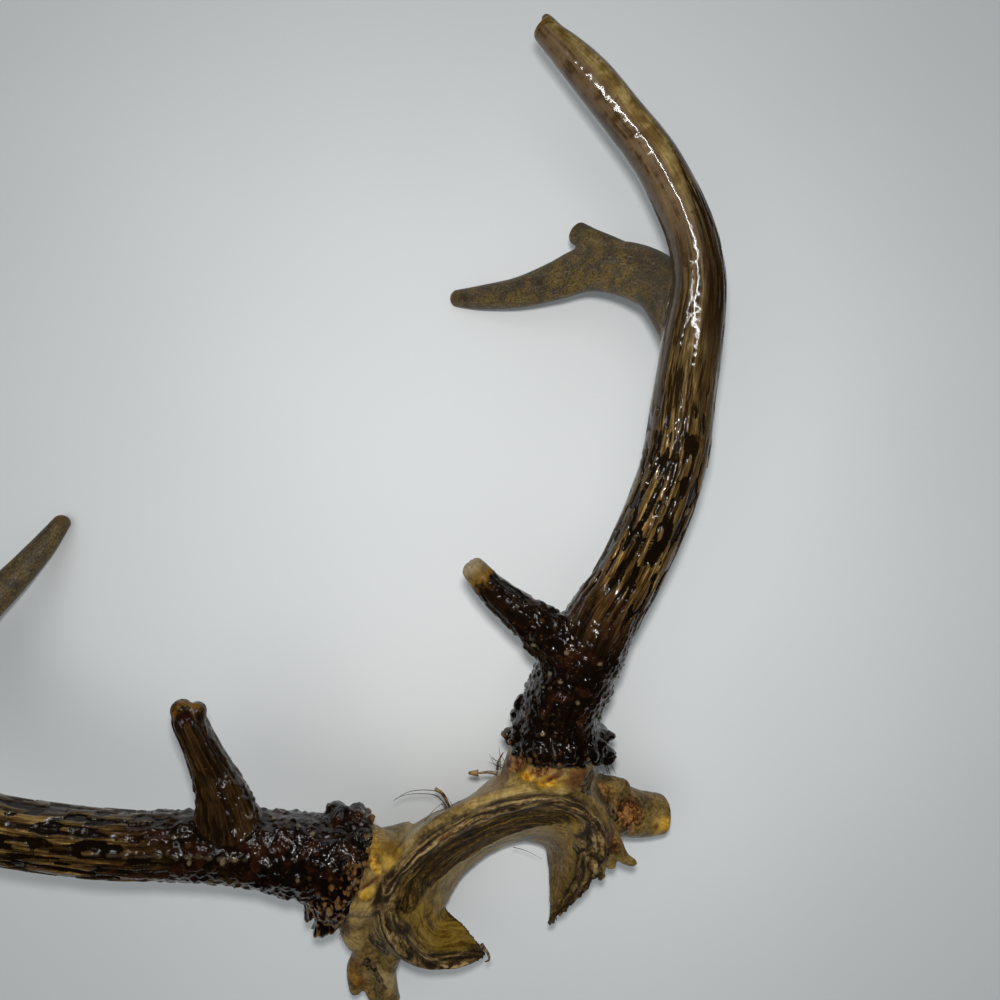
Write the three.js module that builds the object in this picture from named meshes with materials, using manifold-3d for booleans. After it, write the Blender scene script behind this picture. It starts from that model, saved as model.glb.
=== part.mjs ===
// A small deer rack: two antlers that grow from one sawn skull plate.
//
// The rack lies on the front of its skull plate and on the tips of its fork tines.
// X is lateral (the right antler on +X), Y is dorsal (from the saw cut towards the
// antlers) and Z is up, away from the surface that the rack rests on. Millimetres.

import * as THREE from 'three';
import { mergeVertices } from 'three/addons/utils/BufferGeometryUtils.js';
import Module from 'manifold-3d';

const wasm = await Module();
wasm.setup();

// The rack stands centred on its own outline: this shifts the skull's mid line there.
const OUTLINE_SHIFT = new THREE.Vector3(-2.25, -97, 0.1);

// Overall driving dimensions.
const SAW_PLANE = -78;          // dorsal place of the saw cut through the skull
const GROWTH_GAP = 0.3;         // gap left where one branch grows from another
const PEARLING = 0.6;           // mean height of ribs and pearls over a branch's core
const BEAM_SIDES = 18;
const TINE_SIDES = 12;
const PLATE_SIDES = 21;
const RINGS_PER_STATION = 2;
const SAW_REACH = 400;          // side of the block that is sawn away, larger than the skull
const WELD_DISTANCE = 1e-4;     // points closer than this become one

// Every branch is a list of stations: lateral, dorsal and height of its centre line,
// then its width across the tines' plane and its depth along the height.
const RIGHT_BEAM = [
  [52.5, -1, 65, 38, 37],
  [55.5, 3.5, 66, 42, 39],
  [59.5, 9, 67.5, 36, 35.5],
  [66.5, 16.5, 70, 34.5, 34],
  [82, 28, 74, 33.5, 32],
  [98.5, 39.3, 77, 30.5, 29],
  [116.5, 49.3, 79, 27.5, 27],
  [138.5, 64.7, 82, 26.8, 26],
  [158.8, 82.5, 84, 26.5, 25.5],
  [174.6, 102.5, 86, 25.4, 24.5],
  [190, 121.5, 87.5, 24.5, 23],
  [204.2, 140.2, 88.5, 21, 20.5],
  [211.4, 158, 88.5, 20, 19.5],
  [214.4, 176.5, 88, 19.8, 19],
  [215.6, 195.2, 87, 19.3, 18.3],
  [214.2, 215.5, 85, 18.2, 17.5],
  [212.2, 237, 83, 17.6, 16.5],
  [209.5, 252, 82, 14.8, 14],
  [207.3, 262, 81, 12, 12],
  [206.5, 268, 80.5, 11, 11],
  [206.2, 270.74, 80.2, 8, 8],
];
const LEFT_BEAM = [
  [-53.2, -1, 64.5, 43, 40],
  [-56.5, 3.5, 66, 42, 39],
  [-60.5, 9, 68, 38, 36.5],
  [-66.8, 16.6, 70.5, 35, 34],
  [-79.2, 29.3, 74, 31.5, 31],
  [-94.1, 41.5, 77, 29, 29],
  [-110.1, 52.5, 79, 27.6, 28],
  [-126.1, 63.5, 81, 27, 27],
  [-146, 79.5, 83, 26.3, 26],
  [-165, 97, 85, 25.6, 25],
  [-181, 117, 87, 24.5, 23.5],
  [-194, 137, 88, 21.5, 21],
  [-203.6, 156, 88.5, 20.3, 19.8],
  [-209, 175, 88, 19.8, 19],
  [-211.1, 195, 87, 19.2, 18.2],
  [-210.1, 215, 85.5, 18, 17.2],
  [-206.6, 235, 84, 16, 15],
  [-202, 251, 83, 12.5, 12],
  [-199.5, 259, 82.2, 8.5, 8.5],
];
const RIGHT_BROW = [
  [83.6, 27, 74.5, 31, 24],
  [76.8, 42.5, 78, 24, 20],
  [71, 58, 80.5, 17.5, 16.5],
  [66.2, 71.2, 82.5, 14, 13.5],
  [63.8, 82.3, 84.5, 11.4, 11],
  [63, 87.5, 86, 9.8, 9.5],
];
const LEFT_BROW = [
  [-88.5, 34, 76.5, 30, 25],
  [-81, 53, 79, 25, 21],
  [-76.5, 71, 81, 17, 16],
  [-74, 84, 83, 14, 14],
  [-72.6, 93, 84, 13.5, 13],
  [-72, 96, 84.3, 12.5, 12],
];
const RIGHT_FORK = [
  [181, 110, 84, 18, 15],
  [190, 125.4, 81, 20, 16],
  [194.5, 139.8, 76, 23, 16.5],
  [195.5, 152.6, 69, 25, 15.5],
  [189, 167.2, 59, 24.5, 14],
  [178.5, 177.5, 48, 21.5, 12.5],
  [165, 182.5, 38, 18.5, 11.5],
  [149, 189.5, 25.5, 15.2, 11],
  [134, 199.5, 13, 12.6, 10],
  [122.8, 208.2, 3.93, 9, 7.6],
];
const LEFT_FORK = [
  [-175, 109, 84, 18, 15],
  [-183.5, 124.4, 81, 20, 16],
  [-187.5, 139.8, 76, 23, 16.5],
  [-188, 153.6, 69, 25, 15.5],
  [-182, 169, 59, 24.5, 14],
  [-171.5, 181, 48, 21.5, 12.5],
  [-158.5, 188.5, 38, 18.5, 11.5],
  [-143, 196.5, 25.5, 15.2, 11],
  [-128, 206, 13, 12.6, 10],
  [-116.7, 214.4, 3.93, 9, 7.6],
];
const RIGHT_SHORT_POINT = [
  [194.5, 167, 58, 14, 12],
  [189.8, 178.3, 53, 13, 11.5],
  [186, 188, 48, 11.6, 11],
  [183.8, 195, 44.2, 10.8, 10],
];
const LEFT_SHORT_POINT = [
  [-187.5, 168.5, 58, 14, 12],
  [-182.8, 180.5, 53, 13, 11.5],
  [-179.2, 191, 48, 11.4, 11],
  [-177, 199, 44.2, 10.4, 9.8],
];

// The skull vault is an arch. Each station gives its back rim, the edge of its
// hollow further in, and the outside of the forehead below, each as lateral,
// dorsal and height, and how far the forehead bulges out between rim and brow.
const VAULT = [
  { rim: [-27, -72, 54], hollow: [-27, -72, 50], brow: [-28, -72, 48], bulge: 4 },
  { rim: [-40, -65, 60], hollow: [-33.4, -62.5, 36], brow: [-42, -60, 34], bulge: 5 },
  { rim: [-51, -54, 65], hollow: [-40.5, -54.8, 27], brow: [-51, -49, 18], bulge: 6 },
  { rim: [-56, -38, 69], hollow: [-37.5, -52.5, 22], brow: [-55, -35, 7], bulge: 6 },
  { rim: [-53, -23, 71], hollow: [-28, -48, 20], brow: [-49, -27, 3], bulge: 6 },
  { rim: [-42, -11, 73], hollow: [-20, -46, 20], brow: [-36, -23, 2], bulge: 8 },
  { rim: [-25, -5, 74], hollow: [-12, -45, 20], brow: [-20, -21, 2], bulge: 7 },
  { rim: [-5, -3, 74], hollow: [-3, -45, 20], brow: [0, -21, 2], bulge: 2 },
  { rim: [18, -6, 74], hollow: [5, -47, 20], brow: [18, -22, 2], bulge: 8 },
  { rim: [38, -14, 73], hollow: [11, -50, 20], brow: [35, -25, 2], bulge: 9 },
  { rim: [50, -25, 72], hollow: [16.4, -55.4, 22], brow: [48, -30, 3], bulge: 7 },
  { rim: [53, -40, 69], hollow: [15, -60.5, 26], brow: [53, -38, 7], bulge: 6 },
  { rim: [46, -55, 64], hollow: [12, -66, 34], brow: [47, -51, 20], bulge: 6 },
  { rim: [28, -67, 57], hollow: [8, -72, 40], brow: [31, -64, 36], bulge: 5 },
  { rim: [5, -76, 50], hollow: [4, -76, 47], brow: [5, -76, 45], bulge: 4 },
];
const RIM_THICKNESS = 7;        // bone at the back rim, whose inner edge lies RIM_DROP lower
const RIM_DROP = 1;
const SHOULDER_REACH = 4;       // how far the rounded shoulder stands out under the rim
const SHOULDER_DROP = 4.5;      // and how far under the rim it lies
const FLOOR_SHARE = 0.6;        // how far from brow to hollow the vault's underside dips
const SECTION_TENSION = 0.35;   // low tension keeps the section's corners fairly tight

// Short bone posts of the skull plate: pedicles under the antlers, and what is left
// of the eye sockets' rims. The last of these runs on through the saw cut.
const PEDICLES = [
  [[43, -21, 50, 24, 34], [46, -13, 57, 34, 35], [55, 2, 65.8, 34, 34]],
  [[28, -13, 47, 24, 38], [39, -9, 54, 33, 37], [54, 0.5, 65.2, 34, 34]],
  [[-43, -21, 50, 24, 34], [-46, -13, 57, 34, 36], [-55, 2, 65.5, 40, 36]],
  [[-30, -13, 46, 20, 36], [-40, -9, 53, 24, 36], [-54, 0.5, 65, 36, 36]],
];
const SOCKET_POSTS = [
  [[44, -30, 42, 28, 36], [53.4, -46.5, 38, 26, 29], [59.7, -53.2, 34.5, 24, 26],
    [66, -60.6, 31.5, 22, 23], [71.8, -65.2, 29.5, 20.5, 20.5], [78, -69.8, 27.5, 17, 17]],
  [[54, -37, 46, 16, 16], [61, -39.5, 43, 14, 13], [67.5, -43, 41, 12, 11]],
  [[-52, -12, 50, 32, 38], [-67.7, -22.4, 46, 20, 26], [-76.5, -34.7, 42, 14.5, 18],
    [-80, -44, 39, 9, 12], [-89, -52.8, 35.5, 9.6, 11], [-95.5, -62.5, 33, 6.5, 8]],
  [[-54, -24, 44, 24, 32], [-62, -38, 43, 18, 24], [-67, -50.5, 39.5, 13, 15],
    [-76.5, -59.7, 36.5, 10.8, 12], [-82, -68.5, 34, 10.8, 12], [-88.8, -84, 30.4, 11, 12]],
];

const skin = (colour, roughness) =>
  new THREE.MeshStandardMaterial({ color: colour, roughness, metalness: 0 });
const beamFinish = skin(0x5a3a17, 0.2);
const burrFinish = skin(0x2a160b, 0.25);
const tineFinish = skin(0x6b5230, 0.35);
const boneFinish = skin(0xa8813f, 0.35);

// Six times the signed volume of a closed surface: positive when its faces point out.
function pointsOutward(vertices, faces) {
  let volume = 0;
  const [a, b, c] = [new THREE.Vector3(), new THREE.Vector3(), new THREE.Vector3()];
  for (let i = 0; i < faces.length; i += 3) {
    a.copy(vertices[faces[i]]);
    b.copy(vertices[faces[i + 1]]);
    c.copy(vertices[faces[i + 2]]);
    volume += a.dot(b.cross(c));
  }
  return volume > 0;
}

// A closed surface through a row of rings with the same number of points each;
// a fan closes each end.
function skinOver(rings) {
  const sides = rings[0].length;
  const vertices = rings.flat();
  const faces = [];
  for (let row = 0; row < rings.length - 1; row++) {
    for (let side = 0; side < sides; side++) {
      const next = (side + 1) % sides;
      const here = row * sides;
      const there = here + sides;
      faces.push(here + side, here + next, there + side);
      faces.push(here + next, there + next, there + side);
    }
  }
  const lastRow = (rings.length - 1) * sides;
  for (const [first, order] of [[0, 1], [lastRow, -1]]) {
    const middle = new THREE.Vector3();
    for (let side = 0; side < sides; side++) middle.add(vertices[first + side]);
    vertices.push(middle.divideScalar(sides));
    for (let side = 0; side < sides; side++) {
      const next = (side + 1) % sides;
      const fan = [vertices.length - 1, first + next, first + side];
      faces.push(...(order > 0 ? fan : fan.reverse()));
    }
  }
  if (!pointsOutward(vertices, faces)) faces.reverse();
  const geometry = new THREE.BufferGeometry().setFromPoints(vertices);
  geometry.setIndex(faces);
  return geometry;
}

// A branch along its stations, with oval rings square to its centre line. `grow`
// makes the same branch that much fatter all round and longer at each end.
function branch(stations, sides, grow = 0) {
  const path = new THREE.CatmullRomCurve3(
    stations.map(([x, y, z]) => new THREE.Vector3(x, y, z)));
  const girth = new THREE.CatmullRomCurve3(
    stations.map(([, , , width, depth]) => new THREE.Vector3(width / 2, depth / 2, 0)));
  const up = new THREE.Vector3(0, 0, 1);
  const steps = (stations.length - 1) * RINGS_PER_STATION;
  const rings = [];
  for (let step = 0; step <= steps; step++) {
    const t = step / steps;
    const centre = path.getPoint(t);
    const along = path.getTangent(t);
    if (step === 0) centre.addScaledVector(along, -grow);
    if (step === steps) centre.addScaledVector(along, grow);
    const across = new THREE.Vector3().crossVectors(along, up).normalize();
    const over = new THREE.Vector3().crossVectors(across, along);
    const half = girth.getPoint(t);
    const ring = [];
    for (let side = 0; side < sides; side++) {
      const angle = (2 * Math.PI * side) / sides;
      ring.push(centre.clone()
        .addScaledVector(across, (half.x + grow) * Math.cos(angle))
        .addScaledVector(over, (half.y + grow) * Math.sin(angle)));
    }
    rings.push(ring);
  }
  return skinOver(rings);
}

// The skull vault: an outline through rim, shoulder, forehead, brow, underside and
// hollow, carried along the arch from the left wing's tip to the right wing's.
function vault() {
  const outlines = VAULT.map((station) => {
    const [rim, hollow, brow] = [station.rim, station.hollow, station.brow]
      .map((point) => new THREE.Vector3(...point));
    const inward = new THREE.Vector3().subVectors(hollow, rim).setZ(0);
    const width = inward.length();
    inward.normalize();
    const innerRim = rim.clone().addScaledVector(inward, Math.min(RIM_THICKNESS, width / 3));
    innerRim.z -= RIM_DROP;
    const shoulder = rim.clone().addScaledVector(inward, -Math.min(SHOULDER_REACH, width / 5));
    shoulder.z -= Math.min(SHOULDER_DROP, (rim.z - brow.z) / 4);
    const forehead = rim.clone().lerp(brow, 0.5)
      .addScaledVector(inward, -Math.min(station.bulge, width / 4));
    const underside = brow.clone().lerp(hollow, FLOOR_SHARE)
      .setZ(Math.min(brow.z + 1, hollow.z - 1));
    return [rim, shoulder, forehead, brow, underside, hollow, innerRim];
  });
  const lines = outlines[0].map((_, corner) =>
    new THREE.CatmullRomCurve3(outlines.map((outline) => outline[corner])));
  const steps = (VAULT.length - 1) * RINGS_PER_STATION;
  const rings = [];
  for (let step = 0; step <= steps; step++) {
    const corners = lines.map((line) => line.getPoint(step / steps));
    const outline = new THREE.CatmullRomCurve3(corners, true, 'catmullrom', SECTION_TENSION);
    rings.push(outline.getPoints(PLATE_SIDES).slice(0, -1));
  }
  return skinOver(rings);
}

function solid(geometry) {
  const merged = mergeVertices(geometry, WELD_DISTANCE);
  return new wasm.Manifold(new wasm.Mesh({
    numProp: 3,
    vertProperties: new Float32Array(merged.attributes.position.array),
    triVerts: new Uint32Array(merged.index.array),
  }));
}

function toGeometry(manifold) {
  const { vertProperties, triVerts } = manifold.getMesh();
  const geometry = new THREE.BufferGeometry();
  geometry.setAttribute('position', new THREE.BufferAttribute(vertProperties, 3));
  geometry.setIndex(new THREE.BufferAttribute(triVerts, 1));
  geometry.computeVertexNormals();
  return geometry;
}

const rack = new THREE.Group();

function addNode(name, shape, finish) {
  const mesh = new THREE.Mesh(toGeometry(shape), finish);
  mesh.name = name;
  mesh.position.copy(OUTLINE_SHIFT);
  rack.add(mesh);
}

// One antler: every branch is cut clear of the branch that it grows from. Returns the
// room that the beam takes up in the skull plate.
function antler(side, beam, brow, fork, shortPoint) {
  const beamRoom = solid(branch(beam, BEAM_SIDES, PEARLING + GROWTH_GAP));
  const forkRoom = solid(branch(fork, TINE_SIDES, PEARLING + GROWTH_GAP));
  const browTine = solid(branch(brow, TINE_SIDES, PEARLING)).subtract(beamRoom);
  const forkTine = solid(branch(fork, TINE_SIDES, PEARLING)).subtract(beamRoom);
  const point = solid(branch(shortPoint, TINE_SIDES, PEARLING)).subtract(forkRoom).subtract(beamRoom);
  addNode(`${side}_main_beam`, solid(branch(beam, BEAM_SIDES, PEARLING)), beamFinish);
  addNode(`${side}_brow_tine`, browTine, burrFinish);
  addNode(`${side}_fork_tine`, forkTine, tineFinish);
  addNode(`${side}_short_point`, point, tineFinish);
  return beamRoom;
}

function skullPlate(antlerRooms) {
  let bone = solid(vault());
  for (const post of [...PEDICLES, ...SOCKET_POSTS]) {
    bone = bone.add(solid(branch(post, TINE_SIDES)));
  }
  const sawnAway = new THREE.BoxGeometry(SAW_REACH, SAW_REACH, SAW_REACH);
  sawnAway.deleteAttribute('normal').deleteAttribute('uv');
  sawnAway.translate(0, SAW_PLANE - SAW_REACH / 2, 0);
  bone = bone.subtract(solid(sawnAway));
  for (const room of antlerRooms) bone = bone.subtract(room);
  addNode('skull_plate', bone, boneFinish);
}

const rightRoom = antler('right', RIGHT_BEAM, RIGHT_BROW, RIGHT_FORK, RIGHT_SHORT_POINT);
const leftRoom = antler('left', LEFT_BEAM, LEFT_BROW, LEFT_FORK, LEFT_SHORT_POINT);
skullPlate([rightRoom, leftRoom]);

export default rack;
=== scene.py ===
"""A small deer rack: two varnished antlers on the sawn skull plate that they grew from.

Lengths in the tables are millimetres in the skull's own directions: lateral (the
right antler's side is positive), dorsal (from the saw cut towards the antlers) and
height above the surface that the rack lies on. Meshes are in metres.
"""
import itertools
import math

import bpy
import numpy as np
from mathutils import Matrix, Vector


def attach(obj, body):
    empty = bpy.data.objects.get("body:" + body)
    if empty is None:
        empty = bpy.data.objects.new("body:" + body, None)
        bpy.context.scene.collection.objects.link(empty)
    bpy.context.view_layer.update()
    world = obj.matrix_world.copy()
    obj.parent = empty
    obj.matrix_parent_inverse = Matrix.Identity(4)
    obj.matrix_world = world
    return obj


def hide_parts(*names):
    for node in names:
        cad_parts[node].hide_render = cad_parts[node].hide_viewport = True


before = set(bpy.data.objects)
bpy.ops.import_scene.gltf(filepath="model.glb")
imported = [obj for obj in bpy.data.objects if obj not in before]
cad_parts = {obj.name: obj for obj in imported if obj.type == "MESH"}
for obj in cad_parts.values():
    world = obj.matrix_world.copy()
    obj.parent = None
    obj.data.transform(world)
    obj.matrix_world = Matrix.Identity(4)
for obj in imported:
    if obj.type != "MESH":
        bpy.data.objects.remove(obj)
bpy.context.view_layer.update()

MM = 0.001
OUTLINE_SHIFT = np.array([-2.25, -97.0, 0.1])   # from the skull's mid line to the rack's centre
UP = np.array([0.0, 0.0, 1.0])

# Camera: straight above the rack, turned so that the skull's mid line leans left.
CAMERA_PLACE = (0.085, 0.0088, 0.4)
CAMERA_TURN = math.radians(-31)
CAMERA_LENS = 27.07
BESIDE_LENS = (0.098, 0.03, 0.405)   # place of the small lamp and of its glint

# Lattice spacings in millimetres, which keep every piece under 200,000 triangles.
ANTLER_VOXEL = 0.75
PLATE_VOXEL = 0.79
CLEARANCE = 0.02           # least height above the floor and least gap to the saw plane, in mm

# Numbers of points: round the vault, along its rim, and handled at a time.
VAULT_RINGS, VAULT_SIDES = 170, 72
RIM_POINTS = 300
BLOCK = 20000

# Sizes of the surface's cells, in millimetres.
PEARL_CELL = 3.2
SEED_CELL = 2.5
LOBE_CELL = 5.0
PORE_CELL = 3.4

BURR_REACH = (8, 15)       # the burr fades out between these runs along the beam
TYPICAL_RADIUS = [12.0, 8.5, 8.0, 6.0]   # beam, brow tine, fork tine, short point
# Wear of those tips: where it starts before the end, where it is full past it, its strength.
TIP_WEAR = {"right": [(6, 1, 0.5), (15, 5, 0.95), (14, 0, 0.35), (5, 2, 0.35)],
            "left": [(6, 1, 0.5), (9, 5, 0.36), (14, 0, 0.35), (5, 2, 0.35)]}
# The left brow tine takes a later, lighter zone: a painted sheen on its varnish.
BROW_ZONE = {"right": 0.1, "left": 0.185}   # the brow tine's paint is that of this beam zone
BEAD_LINE_ANGLE = 1.43     # the bead line along the left beam: its angle and half width
BEAD_LINE_WIDTH = 0.09

# Stations of each branch: lateral, dorsal, height, width, depth.
RIGHT_BEAM = [
    (52.5, -1, 65, 38, 37), (55.5, 3.5, 66, 38, 37), (59.5, 9, 67.5, 36, 35.5),
    (66.5, 16.5, 70, 34.5, 34), (82, 28, 74, 33.5, 32), (98.5, 39.3, 77, 30.5, 29),
    (116.5, 49.3, 79, 27.5, 27), (138.5, 64.7, 82, 26.8, 26), (158.8, 82.5, 84, 26.5, 25.5),
    (174.6, 102.5, 86, 25.4, 24.5), (190, 121.5, 87.5, 24.5, 23), (204.2, 140.2, 88.5, 21, 20.5),
    (211.4, 158, 88.5, 20, 19.5), (214.4, 176.5, 88, 19.8, 19), (215.6, 195.2, 87, 19.3, 18.3),
    (214.2, 215.5, 85, 18.2, 17.5), (212.2, 237, 83, 17.6, 16.5), (209.5, 252, 82, 14.8, 14),
    (207.3, 262, 81, 12, 12), (206.5, 268, 80.5, 11, 11),
]
LEFT_BEAM = [
    (-53.2, -1, 64.5, 43, 40), (-56.5, 3.5, 66, 42, 39), (-60.5, 9, 68, 38, 36.5),
    (-66.8, 16.6, 70.5, 35, 34), (-79.2, 29.3, 74, 31.5, 31), (-94.1, 41.5, 77, 29, 29),
    (-110.1, 52.5, 79, 27.6, 28), (-126.1, 63.5, 81, 27, 27), (-146, 79.5, 83, 26.3, 26),
    (-165, 97, 85, 25.6, 25), (-181, 117, 87, 24.5, 23.5), (-194, 137, 88, 21.5, 21),
    (-203.6, 156, 88.5, 20.3, 19.8), (-209, 175, 88, 19.8, 19), (-211.1, 195, 87, 19.2, 18.2),
    (-210.1, 215, 85.5, 18, 17.2),
    (-206.6, 235, 84, 16, 15), (-202, 251, 83, 12.5, 12), (-199.5, 259, 82.2, 8.5, 8.5),
]
RIGHT_BROW = [
    (84.5, 25, 74, 36, 26), (76.8, 42.5, 78, 24, 20), (71, 58, 80.5, 17.5, 16.5),
    (66.2, 71.2, 82.5, 14, 13.5), (63.8, 82.3, 84.5, 11.4, 11), (63, 87.5, 86, 9.8, 9.5),
]
LEFT_BROW = [
    (-90, 32, 76, 38, 27), (-81, 53, 79, 25, 21), (-76.5, 71, 81, 17, 16),
    (-74, 84, 83, 14, 14), (-72.6, 93, 84, 13.5, 13), (-72, 96, 84.3, 12.5, 12),
]
RIGHT_FORK = [
    (181, 110, 84, 18, 15), (190, 125.4, 81, 20, 16), (194.5, 139.8, 76, 23, 16.5),
    (195.5, 152.6, 69, 25, 15.5), (189, 167.2, 59, 24.5, 14), (178.5, 177.5, 48, 21.5, 12.5),
    (165, 182.5, 38, 18.5, 11.5), (149, 189.5, 25.5, 15.2, 11), (134, 199.5, 13, 12.6, 10),
    (122.8, 208.2, 4.2, 9, 7.6),
]
LEFT_FORK = [
    (-175, 109, 84, 18, 15), (-183.5, 124.4, 81, 20, 16), (-187.5, 139.8, 76, 23, 16.5),
    (-188, 153.6, 69, 25, 15.5), (-182, 169, 59, 24.5, 14), (-171.5, 181, 48, 21.5, 12.5),
    (-158.5, 188.5, 38, 18.5, 11.5), (-143, 196.5, 25.5, 15.2, 11), (-128, 206, 13, 12.6, 10),
    (-116.7, 214.4, 4.2, 9, 7.6),
]
RIGHT_SHORT_POINT = [
    (194.5, 167, 58, 14, 12), (189.8, 178.3, 53, 13, 11.5), (186, 188, 48, 11.6, 11),
    (183.8, 195, 44.2, 10.8, 10),
]
LEFT_SHORT_POINT = [
    (-187.5, 168.5, 58, 14, 12), (-182.8, 180.5, 53, 13, 11.5), (-179.2, 191, 48, 11.4, 11),
    (-177, 199, 44.2, 10.4, 9.8),
]
TIP_KNOBS = [
    [(205.5, 262, 81, 6, 6), (208.2, 268, 82, 5, 5), (208.6, 269.5, 82.3, 4.6, 4.6)],
    [(-199, 254, 82, 6, 6), (-200.8, 259, 83, 5, 5), (-201, 260.5, 83.2, 4.6, 4.6)],
]

# The skull vault's arch: back rim, edge of the hollow and brow foot of each station.
VAULT = [
    ((-27, -72, 54), (-27, -72, 50), (-28, -72, 48)),
    ((-40, -65, 60), (-33.4, -62.5, 36), (-42, -60, 34)),
    ((-51, -54, 65), (-40.5, -54.8, 27), (-51, -49, 18)),
    ((-56, -38, 69), (-37.5, -52.5, 22), (-55, -35, 7)),
    ((-53, -23, 71), (-28, -48, 20), (-49, -27, 3)),
    ((-42, -11, 73), (-20, -46, 20), (-36, -23, 2)),
    ((-25, -5, 74), (-12, -45, 20), (-20, -21, 2)),
    ((-5, -3, 74), (-3, -45, 20), (0, -21, 2)),
    ((18, -6, 74), (5, -47, 20), (18, -22, 2)),
    ((38, -14, 73), (11, -50, 20), (35, -25, 2)),
    ((50, -25, 72), (16.4, -55.4, 22), (48, -30, 3)),
    ((53, -40, 69), (15, -60.5, 26), (53, -38, 7)),
    ((46, -55, 64), (12, -66, 34), (47, -51, 20)),
    ((28, -67, 57), (8, -72, 40), (31, -64, 36)),
    ((5, -76, 50), (4, -76, 47), (5, -76, 45)),
]
RIM_THICKNESS = 7.0
SHOULDER_REACH = 4.0
SHOULDER_DROP = 4.5
SECTION_PULL = 0.35
SEAMS = (-1.0, 2.6, 5.4, 8.6, 12.0, 16.0, 21.0)   # dark seams, measured inward from the rim
FOREHEAD_BULGE = (4, 5, 6, 6, 6, 8, 7, 2, 8, 9, 7, 6, 6, 5, 4)
SAW_PLANE = -78.0

PEDICLES = [
    [(43, -21, 50, 24, 34), (46, -13, 57, 34, 35), (52, -2, 64.5, 34, 34)],
    [(28, -13, 47, 24, 38), (39, -9, 54, 33, 37), (51, -3, 64, 34, 34)],
    [(-43, -21, 50, 24, 34), (-46, -13, 57, 34, 36), (-53, -1, 64.5, 40, 36)],
    [(-30, -13, 46, 20, 36), (-40, -9, 53, 24, 36), (-51, -3, 63.5, 36, 36)],
]
SOCKET_POSTS = [
    [(44, -30, 42, 28, 36), (53.4, -46.5, 38, 26, 29), (59.7, -53.2, 34.5, 24, 26),
     (66, -60.6, 31.5, 22, 23), (71.8, -65.2, 29.5, 20.5, 20.5), (75.6, -68, 28.5, 19, 19)],
    [(-52, -12, 50, 32, 38), (-67.7, -22.4, 46, 20, 26), (-76.5, -34.7, 42, 14.5, 18),
     (-80, -44, 39, 9, 12), (-89, -52.8, 35.5, 9.6, 11), (-95.5, -62.5, 33, 6.5, 8)],
    [(-54, -24, 44, 24, 32), (-62, -38, 43, 18, 24), (-67, -50.5, 39.5, 13, 15),
     (-76.5, -59.7, 36.5, 10.8, 12), (-82, -68.5, 34, 10.8, 12), (-88.8, -84, 30.4, 11, 12)],
]

# Splinters of the broken socket floor beside the hollow's right wing, a knob of the
# right post and the dark skin between the two left posts.
SPLINTERS = [
    [(51.7, -38, 58, 10, 9), (51.7, -52.7, 57, 7.5, 6), (51.3, -62.5, 56, 6, 4.5),
     (54.2, -68.6, 55, 3.5, 3)],
    [(44.9, -45.5, 60, 9, 8), (42.1, -55.9, 58, 6, 5), (38.3, -65.4, 56, 3.5, 3)],
    [(48.6, -47, 57, 9, 5), (46.7, -57.7, 56, 8, 2.5), (44.5, -64.4, 55, 5, 2)],
    [(54, -37, 46, 16, 16), (61, -39.5, 43, 14, 13), (66, -42, 41, 10, 10)],
    [(-64, -30, 48, 16, 10), (-73, -44, 41, 12, 7), (-82, -55, 37, 10, 6), (-88.5, -62, 34, 7, 5),
     (-90.5, -70, 33, 5, 4)],
]

# Knobs that stand out of each burr, and the broken brow tine's two lobes.
RIGHT_BURR_KNOBS = [
    [(54, 4, 65, 12, 12), (45.5, 18.2, 63, 8, 8)], [(53, 1, 65, 12, 12), (40, 11, 63, 9, 9)],
    [(55, 3, 66, 12, 12), (70.5, -8, 64, 9, 9)], [(55, 2, 66, 12, 12), (67.5, -15, 64, 8, 8)],
    [(57, 8, 67, 14, 14), (49.2, 23, 65, 7, 7)],
]
LEFT_BURR_KNOBS = [
    [(-55, 2, 66, 14, 14), (-48, 24, 63, 9, 9)], [(-55, 2, 66, 14, 14), (-41.5, 18, 64, 9, 9)],
    [(-58, 6, 67, 14, 14), (-44.5, 22, 69, 9, 9)], [(-58, 2, 66, 14, 14), (-78, -7, 63, 8, 8)],
    [(-57, 0, 66, 14, 14), (-71.5, -15, 63, 9, 9)], [(-57, 1, 66, 14, 14), (-79, -16, 61, 8, 8)],
]
LEFT_BROW_LOBES = [
    [(-73, 92, 84, 11, 11), (-71.8, 99, 86, 9, 9)],
    [(-72.5, 91, 84, 10, 10), (-67.2, 95.5, 84.5, 7.5, 7.5)],
]
BROKEN_PIT = (-70.5, 95.5, 90.5)

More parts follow.
